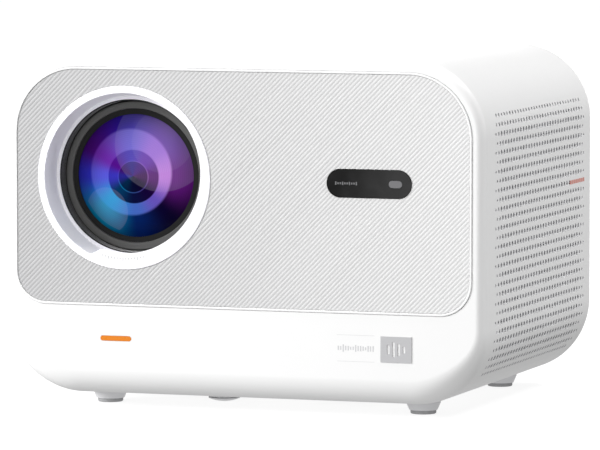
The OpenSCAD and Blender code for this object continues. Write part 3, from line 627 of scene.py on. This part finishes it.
def vent_places():
    """Each hole's place along the side, its y and its radius; the outermost ones are smaller."""
    for row in range(VENT_ROWS):
        columns = VENT_COLUMNS - row % 2
        from_end = min(row, VENT_ROWS - 1 - row)
        row_size = min(1, 0.72 + 0.14 * from_end)
        shorter = 1 if from_end == 0 else 0
        for column in range(shorter, columns - shorter):
            y = VENT_MID_Y + (column - (columns - 1) / 2) * VENT_COLUMN_PITCH
            if row == SIDE_MARK_ROW and y > SIDE_MARK_Y[0]:
                continue
            column_size = min(1, 0.6 + 0.2 * min(column, columns - 1 - column))
            yield VENT_START - row * VENT_ROW_PITCH, y, VENT_R * min(row_size, column_size)


def vent_tool(side):
    """All the holes of one side as one tool, whose faces leave the vent wall material, darker as painted
    shade, behind.
    """
    steps = 16
    turns = [2 * math.pi * k / steps for k in range(steps)]
    vertices, faces = [], []
    for s, y, radius in vent_places():
        x, z, tilt = on_side(s)
        first = len(vertices)
        for reach in (-2.2 * WALL, 0.5 * MM):
            for turn in turns:
                across = radius * math.sin(turn)
                out_x = x + reach * math.cos(tilt) - across * math.sin(tilt)
                out_z = z + reach * math.sin(tilt) + across * math.cos(tilt)
                vertices.append((side * out_x, y + radius * math.cos(turn), out_z))
        low = [first + k for k in range(steps)]
        high = [first + steps + k for k in range(steps)]
        faces += [low, high]
        faces += [[low[k - 1], low[k], high[k], high[k - 1]] for k in range(steps)]
    tool = link_mesh("vent_tool", vertices, faces)
    two_materials(tool)
    tool.data.polygons.foreach_set("material_index", [1] * len(faces))
    return tool


def two_materials(piece):
    """The outside of the housing comes first, and the walls of its vents second, darker as painted shade."""
    piece.data.materials.append(MATERIALS["shell_white"])
    piece.data.materials.append(SHADED_VENT_WALL)


def base_tool():
    """The opening for the base tray and the holes for its screws, cut through the bottom."""
    tray_low, tray_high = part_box("base_tray")
    screw_low, screw_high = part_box("base_screws")
    flange = 6 * MM
    half_width = tray_high.x - flange + SEAM
    corner_r = 10 * MM
    near, far = tray_low.y + flange - SEAM, tray_high.y - flange + SEAM
    outline = rounded(half_width, near, far, corner_r, corner_r)
    bottom = HOUSING_LOW.z
    tools = [extrude("tray_tool", outline, bottom - PAST, bottom + WALL + 0.5 * MM, "Z")]
    head_r, sink_r, shaft_r = 2.6 * MM, 2.9 * MM, 1.6 * MM
    sink_top = bottom + 1.2 * MM
    for x in (screw_low.x + head_r, screw_high.x - head_r):
        for y in (screw_low.y + head_r, screw_high.y - head_r):
            rings = [(bottom - PAST, sink_r), (sink_top, sink_r)]
            rings += [(sink_top, shaft_r), (bottom + 4 * MM, shaft_r)]
            tools.append(skin("screw_tool", [(z, circle((x, y), r, 32)) for z, r in rings], "Z"))
    return join("base_tool", tools)


def front_tool():
    """The opening behind the lens, and the slot for the light bar."""
    bar_low, bar_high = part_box("light_bar")
    center = ((bar_low.x + bar_high.x) / 2, (bar_low.z + bar_high.z) / 2)
    width, height = bar_high.x - bar_low.x + 0.2 * MM, bar_high.z - bar_low.z + 0.2 * MM
    inside = RECESS_Y + PANEL_WALL + PAST
    opening = circle((LENS_AXIS.x, LENS_AXIS.z), TUBE_R + TUBE_GAP)
    return join("front_tool", [
        extrude("lens_tool", opening, RECESS_Y - PAST, inside),
        extrude("bar_tool", pill(center, width, height), HOUSING_LOW.y - PAST, inside),
    ])


def outer_normals(points):
    """Distance from the housing's true outer surface, and its normal, at each point."""
    core = np.array([HALF_WIDTH - CORNER_R, HALF_HEIGHT - CORNER_R])
    flat = np.stack([points[:, 0], points[:, 2] - MID_Z], axis=1)
    away = np.abs(flat) - core
    both = (away > 0).all(axis=1)
    rho = np.where(both, np.linalg.norm(np.maximum(away, 0), axis=1), away.max(axis=1))
    wide = (away[:, 0] > away[:, 1])[:, None]
    straight = np.where(wide, [[1.0, 0.0]], [[0.0, 1.0]])
    round_way = np.maximum(away, 0) / np.maximum(np.linalg.norm(np.maximum(away, 0), axis=1), 1e-9)[:, None]
    way = np.where(both[:, None], round_way, straight) * np.sign(flat)

    y = points[:, 1]
    front_r = front_radius(way[:, 1])
    in_front = y < HOUSING_LOW.y + front_r
    behind = y > HOUSING_HIGH.y - BACK_R
    edge = np.where(in_front, front_r, BACK_R)
    depth = np.where(in_front, y - HOUSING_LOW.y - front_r, y - HOUSING_HIGH.y + BACK_R)
    depth = np.where(in_front | behind, depth, 0)
    reach = rho - (CORNER_R - edge)
    length = np.hypot(np.maximum(reach, 0), depth)
    on_edge = (in_front | behind) & (reach > 0)
    outward = np.where(on_edge, np.maximum(reach, 0) / np.maximum(length, 1e-9), 1.0)
    along_y = np.where(on_edge, depth / np.maximum(length, 1e-9), 0.0)
    distance = np.where(on_edge, length - edge, rho - CORNER_R)
    on_face = (in_front | behind) & (reach <= 0)
    outward = np.where(on_face, 0.0, outward)
    along_y = np.where(on_face, np.sign(depth), along_y)
    distance = np.where(on_face, np.abs(depth) - edge, distance)
    normals = np.stack([way[:, 0] * outward, along_y, way[:, 1] * outward], axis=1)
    return distance, normals


def true_shading(mesh):
    """Give the outer skin the normals of the true curved surface, so that holes leave no trace."""
    mesh.shade_smooth()
    mesh.set_sharp_from_angle(angle=math.radians(30))
    corners = len(mesh.loops)
    vertex = np.zeros(corners, int)
    mesh.loops.foreach_get("vertex_index", vertex)
    points = np.zeros(len(mesh.vertices) * 3)
    mesh.vertices.foreach_get("co", points)
    points = points.reshape(-1, 3)[vertex]
    sizes = np.zeros(len(mesh.polygons), int)
    mesh.polygons.foreach_get("loop_total", sizes)
    faces = np.zeros(len(mesh.polygons) * 3)
    mesh.polygons.foreach_get("normal", faces)
    face_normals = np.repeat(faces.reshape(-1, 3), sizes, axis=0)
    current = np.zeros(corners * 3)
    mesh.corner_normals.foreach_get("vector", current)
    distance, normals = outer_normals(points)
    facing = (normals * face_normals).sum(axis=1) > math.cos(math.radians(14))
    close = (np.abs(distance) < 0.06 * MM) & facing
    mixed = np.where(close[:, None], normals, current.reshape(-1, 3))
    mesh.normals_split_custom_set(mixed.tolist())


def build_housing():
    """The shell with its openings for the panel, the lens, the rear cover, the tray and the vents."""
    housing = housing_solid()
    two_materials(housing)
    boolean(housing, cavity_solid())
    rear_low, rear_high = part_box("rear_cover")
    back = HOUSING_HIGH.y
    lip_inside = housing_outline(REAR_LIP_WIDTH)
    boolean(housing, extrude("neck", lip_inside, back - REAR_LIP - 1.5 * MM, back - PAST))
    cover_outline = housing_outline(HALF_WIDTH - rear_high.x - SEAM)
    boolean(housing, extrude("mouth", cover_outline, rear_low.y, back + PAST))
    boolean(housing, extrude("recess", panel_outline(-SEAM), HOUSING_LOW.y - PAST, RECESS_Y))
    boolean(housing, front_tool())
    boolean(housing, base_tool())
    for side in (-1, 1):
        boolean(housing, vent_tool(side))
    finish_piece(housing, "shell_white")
    true_shading(housing.data)
    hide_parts("housing")


# ---- Front panel, trim and bezel ------------------------------------------------------------

RIB_PITCH = 1.574 * MM
RIB_DEPTH = 0.13 * MM


def rib_slab(low, high):
    """A slab whose front is covered by half-round ribs that rise to the right at 45 degrees."""
    steps = 6
    center = ((low.x + high.x) / 2, (low.z + high.z) / 2)
    reach = (high.x - low.x + high.z - low.z) / 2
    count = math.ceil(reach / RIB_PITCH) * 2
    profile = []
    for k in range(count * steps + 1):
        rise = abs(math.sin(math.pi * k / steps))
        profile.append(((k / steps - count / 2) * RIB_PITCH, low.y + RIB_DEPTH * (1 - rise)))
    last = profile[-1][0]
    profile += [(last, high.y + PAST), (-last, high.y + PAST)]
    vertices = []
    for along in (-reach, reach):
        for across, y in profile:
            x = center[0] + (across + along) * math.sqrt(0.5)
            z = center[1] + (along - across) * math.sqrt(0.5)
            vertices.append((x, y, z))
    n = len(profile)
    faces = [[k, (k + 1) % n, n + (k + 1) % n, n + k] for k in range(n)]
    faces += [list(range(n)), list(range(n, 2 * n))]
    return link_mesh("rib_slab", vertices, faces)


def build_panel():
    """The ribbed panel, with holes for the bezel and the sensor window."""
    low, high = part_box("front_panel")
    panel = extrude("front_panel_ribs", panel_outline(TRIM_WIDTH + SEAM), low.y, high.y)
    boolean(panel, rib_slab(low, high), "INTERSECT")
    hole = circle((LENS_AXIS.x, LENS_AXIS.z), BEZEL_R + SEAM, 128)
    boolean(panel, extrude("bezel_tool", hole, low.y - PAST, high.y + PAST))
    window_low, window_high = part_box("sensor_window")
    center = ((window_low.x + window_high.x) / 2, (window_low.z + window_high.z) / 2)
    size = window_high - window_low
    slot_outline = pill(center, size.x + 2 * SEAM, size.z + 2 * SEAM, 32)
    boolean(panel, extrude("window_tool", slot_outline, low.y - PAST, high.y + PAST))
    finish_piece(panel, "panel_grey")
    smooth(panel, 35)
    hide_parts("front_panel")


def build_trim():
    """The white frame round the panel, with both its front edges rounded."""
    edge = 0.3 * MM
    front, back = PANEL_LOW.y, PANEL_HIGH.y
    profile = [(0, back), (0, front + edge)]
    for a in (0.5, 1.05, math.pi / 2):
        profile.append((edge - edge * math.cos(a), front + edge - edge * math.sin(a)))
    inner = TRIM_WIDTH - edge
    for a in (0, 0.5, 1.05):
        profile.append((inner + edge * math.sin(a), front + edge - edge * math.cos(a)))
    profile += [(TRIM_WIDTH, front + edge), (TRIM_WIDTH, back)]
    trim = swept_ring("panel_trim_edge", panel_outline, profile)
    finish_piece(trim, "trim_white")
    smooth(trim, 40)
    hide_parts("panel_trim")


def build_bezel():
    """A flat ring and a narrowing throat, with a ledge that is slanted on the left and thins to the right."""
    front, back = BEZEL_LOW.y, BEZEL_HIGH.y
    floor = back - BEZEL_FLOOR
    edge = 0.4 * MM
    profile = [(BEZEL_R, RECESS_Y), (BEZEL_R, front + edge)]
    for a in (0.5, 1.05, math.pi / 2):
        profile.append((BEZEL_R - edge + edge * math.cos(a), front + edge - edge * math.sin(a)))
    profile += [(MOUTH_R, front), (THROAT_R, floor), (FLOOR_R, floor)]
    profile += [(FLOOR_R, back), (TUBE_R, back), (TUBE_R, RECESS_Y)]

    def ring_at(radius):
        return circle((LENS_AXIS.x, LENS_AXIS.z), radius, 144)

    bezel = swept_ring("lens_bezel_look", ring_at, profile)
    center = (LENS_AXIS.x, LENS_AXIS.z)
    cut_center = (LENS_AXIS.x + LEDGE_CUT[0], LENS_AXIS.z + LEDGE_CUT[1])
    ledge = arc(center, MOUTH_R + 0.5 * MM, *LEDGE_ANGLES, 96)
    ledge += arc(cut_center, LEDGE_CUT_R, *LEDGE_CUT_ANGLES, 96)
    boolean(bezel, extrude("ledge", ledge, front + 0.02 * MM, front + LEDGE_THICK), "UNION")
    # The bezel takes the lighter white, painted light for its shaded throat
    bezel.data.materials.clear()
    bezel.data.materials.append(LIT_BEZEL_WHITE)
    finish_piece(bezel, "trim_white")
    smooth(bezel, 35)
    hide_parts("lens_bezel")


# ---- Small marks ----------------------------------------------------------------------------

# How far the marks' bars reach into the surface that carries them
SUNK = 0.1 * MM
MARKS = {
    "mark_grey": plastic("mark_grey", rgb(196, 196, 198), 0.5, depth=0.002),
    "mark_dark": plastic("mark_dark", rgb(104, 104, 106), 0.5, depth=0.002),
    "mark_red": plastic("mark_red", rgb(206, 138, 128), 0.5, depth=0.002),
}


def mark(name, material, pieces):
    """Small printed bars, joined into one piece on the root body."""
    piece = join(name, pieces)
    piece.data.materials.append(MARKS[material])
    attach(piece, "root")


def bars(centers, widths, heights, start, end, axis="Y"):
    """Upright bars about centres of a plane, from one depth to another along the axis."""
    made = []
    for (u, v), width, height in zip(centers, widths, heights):
        outline = box_outline(u - width / 2, u + width / 2, v - height / 2, v + height / 2)
        made.append(extrude("bar", outline, start, end, axis))
    return made


def level_marks():
    """A row of short strokes beside the badge, between two fine lines."""
    face = HOUSING_LOW.y
    low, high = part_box("badge_plate")
    middle_z = (low.z + high.z) / 2
    count, pitch = 15, 1.2 * MM
    first = low.x - 3 * MM - pitch * count
    centers = [(first + pitch * (k + 0.5), middle_z) for k in range(count)]
    swells = [abs(math.sin(0.55 * k + 0.4)) * abs(math.sin(1.9 * k + 1)) for k in range(count)]
    heights = [(1.3 + 2.1 * swell) * MM for swell in swells]
    wave = bars(centers, [0.55 * MM] * count, heights, face - 0.06 * MM, face + SUNK)
    mark("level_bars", "mark_grey", wave)

    line_x = first + pitch * count / 2
    centers = [(line_x, z) for z in (high.z + 0.1 * MM, low.z - 0.1 * MM)]
    lines = bars(centers, [pitch * count] * 2, [0.12 * MM] * 2, face - 0.05 * MM, face + SUNK)
    mark("level_lines", "mark_grey", lines)


def window_marks():
    """Short strokes at the left end of the sensor window."""
    low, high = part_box("sensor_window")
    middle_z = (low.z + high.z) / 2
    count = 10
    centers = [(low.x + (4.4 + 1.1 * k) * MM, middle_z) for k in range(count)]
    heights = [(1.5 if k % 3 == 0 else 0.9) * MM for k in range(count)]
    strokes = bars(centers, [0.65 * MM] * count, heights, low.y - 0.02 * MM, low.y + SUNK)
    mark("window_ticks", "mark_dark", strokes)


def side_mark():
    """A row of red bars in place of the last holes of one row of vents."""
    start, end = SIDE_MARK_Y
    row_z = on_side(VENT_START - SIDE_MARK_ROW * VENT_ROW_PITCH)[1]
    count = 8
    pitch = (end - start) / count
    centers = [(start + pitch * (k + 0.5), row_z) for k in range(count)]
    widths, heights = [pitch * 0.86] * count, [1.9 * MM] * count
    pieces = bars(centers, widths, heights, HALF_WIDTH - SUNK, HALF_WIDTH + 0.02 * MM, "X")
    mark("side_mark", "mark_red", pieces)


def focus_ticks():
    """A focus scale on the ledge under the lens, with every fifth tick longer."""
    front = BEZEL_LOW.y
    ticks = []
    for k in range(15):
        angle = math.radians(-106 + 2.2 * k)
        outward = Vector((math.cos(angle), math.sin(angle)))
        across = Vector((-outward.y, outward.x)) * 0.27 * MM
        inner = Vector((LENS_AXIS.x, LENS_AXIS.z)) + outward * 37.1 * MM
        outer = inner + outward * (1.6 if k % 5 == 2 else 1) * MM
        outline = [inner - across, outer - across, outer + across, inner + across]
        ticks.append(extrude("tick", outline, front - 0.02 * MM, front + SUNK))
    mark("focus_ticks", "mark_grey", ticks)


def build_marks():
    level_marks()
    window_marks()
    side_mark()
    focus_ticks()


# ---- Stage ----------------------------------------------------------------------------------


def build_floor():
    """A pale floor that glows a little more away from the object."""
    reach = 12
    corners = [(x, y, 0) for x, y in box_outline(-reach, reach, -reach, reach)]
    floor = link_mesh("floor", corners, [[0, 1, 2, 3]])
    g = Graph("floor_white", Roughness=0.9)
    g.set("Specular IOR Level", 0)
    g.set("Base Color", g.mix(g.noise(0.5), rgb(148, 148, 148), rgb(151, 151, 151)))
    g.set("Emission Color", (1, 1, 1, 1))
    away = g.nodes.new("ShaderNodeVectorMath")
    away.operation = "LENGTH"
    g.feed(away.inputs[0], g.place)
    g.set("Emission Strength", g.remap(away.outputs["Value"], 0.2, 1.6, 0.82, 0.95, soft=True))
    floor.data.materials.append(g.material)
    floor.visible_diffuse = False
    floor.visible_glossy = False


LIGHT_BELOW, LIGHT_ABOVE = 0.64, 0.22


def area_light(name, place, power):
    """A softbox one metre square, aimed at the middle of the housing."""
    light = bpy.data.lights.new(name, "AREA")
    light.shape = "RECTANGLE"
    light.size = light.size_y = 1
    light.energy = power
    lamp = bpy.data.objects.new(name, light)
    lamp.location = place
    way = Vector((0, 0, MID_Z)) - Vector(place)
    lamp.rotation_euler = way.to_track_quat("-Z", "Y").to_euler()
    bpy.context.scene.collection.objects.link(lamp)


def build_lights():
    """A world that is brighter from below than from above, and four softboxes."""
    scene = bpy.context.scene
    scene.view_settings.view_transform = "Standard"
    world = bpy.data.worlds.new("studio")
    world.use_nodes = True
    nodes, links = world.node_tree.nodes, world.node_tree.links
    background = nodes["Background"]
    background.inputs["Color"].default_value = (1, 1, 1, 1)
    way = nodes.new("ShaderNodeSeparateXYZ")
    links.new(nodes.new("ShaderNodeTexCoord").outputs["Generated"], way.inputs[0])
    fade = nodes.new("ShaderNodeMapRange")
    fade.interpolation_type = "SMOOTHSTEP"
    links.new(way.outputs["Z"], fade.inputs[0])
    for socket, number in zip(list(fade.inputs)[1:5], (-0.25, 0.15, LIGHT_BELOW, LIGHT_ABOVE)):
        socket.default_value = number
    links.new(fade.outputs[0], background.inputs["Strength"])
    scene.world = world
    area_light("key_softbox", (-1.95, -1.15, 0.95), 76)
    area_light("right_softbox", (0.9, 0.1, 1.6), 30)
    area_light("front_softbox", (-0.4, -2.2, 0.7), 17)
    area_light("back_softbox", (-0.5, 1.3, 1.5), 7)


def build_camera():
    """A long lens from the front, a little to the right and above."""
    azimuth, elevation = math.radians(19.008), math.radians(4.611)
    distance = 2.5424
    target = Vector((-0.0015, 0, 0.08117))
    level = math.cos(elevation)
    way = Vector((math.sin(azimuth) * level, -math.cos(azimuth) * level, math.sin(elevation)))
    data = bpy.data.cameras.new("camera")
    data.sensor_width = 36
    data.lens = 320.55
    camera = bpy.data.objects.new("camera", data)
    camera.location = target + distance * way
    camera.rotation_euler = (-way).to_track_quat("-Z", "Y").to_euler()
    bpy.context.scene.collection.objects.link(camera)
    bpy.context.scene.camera = camera


build_camera()
build_lights()
build_floor()
finish_cad_nodes()
build_housing()
build_panel()
build_trim()
build_bezel()
build_marks()

bpy.context.view_layer.update()
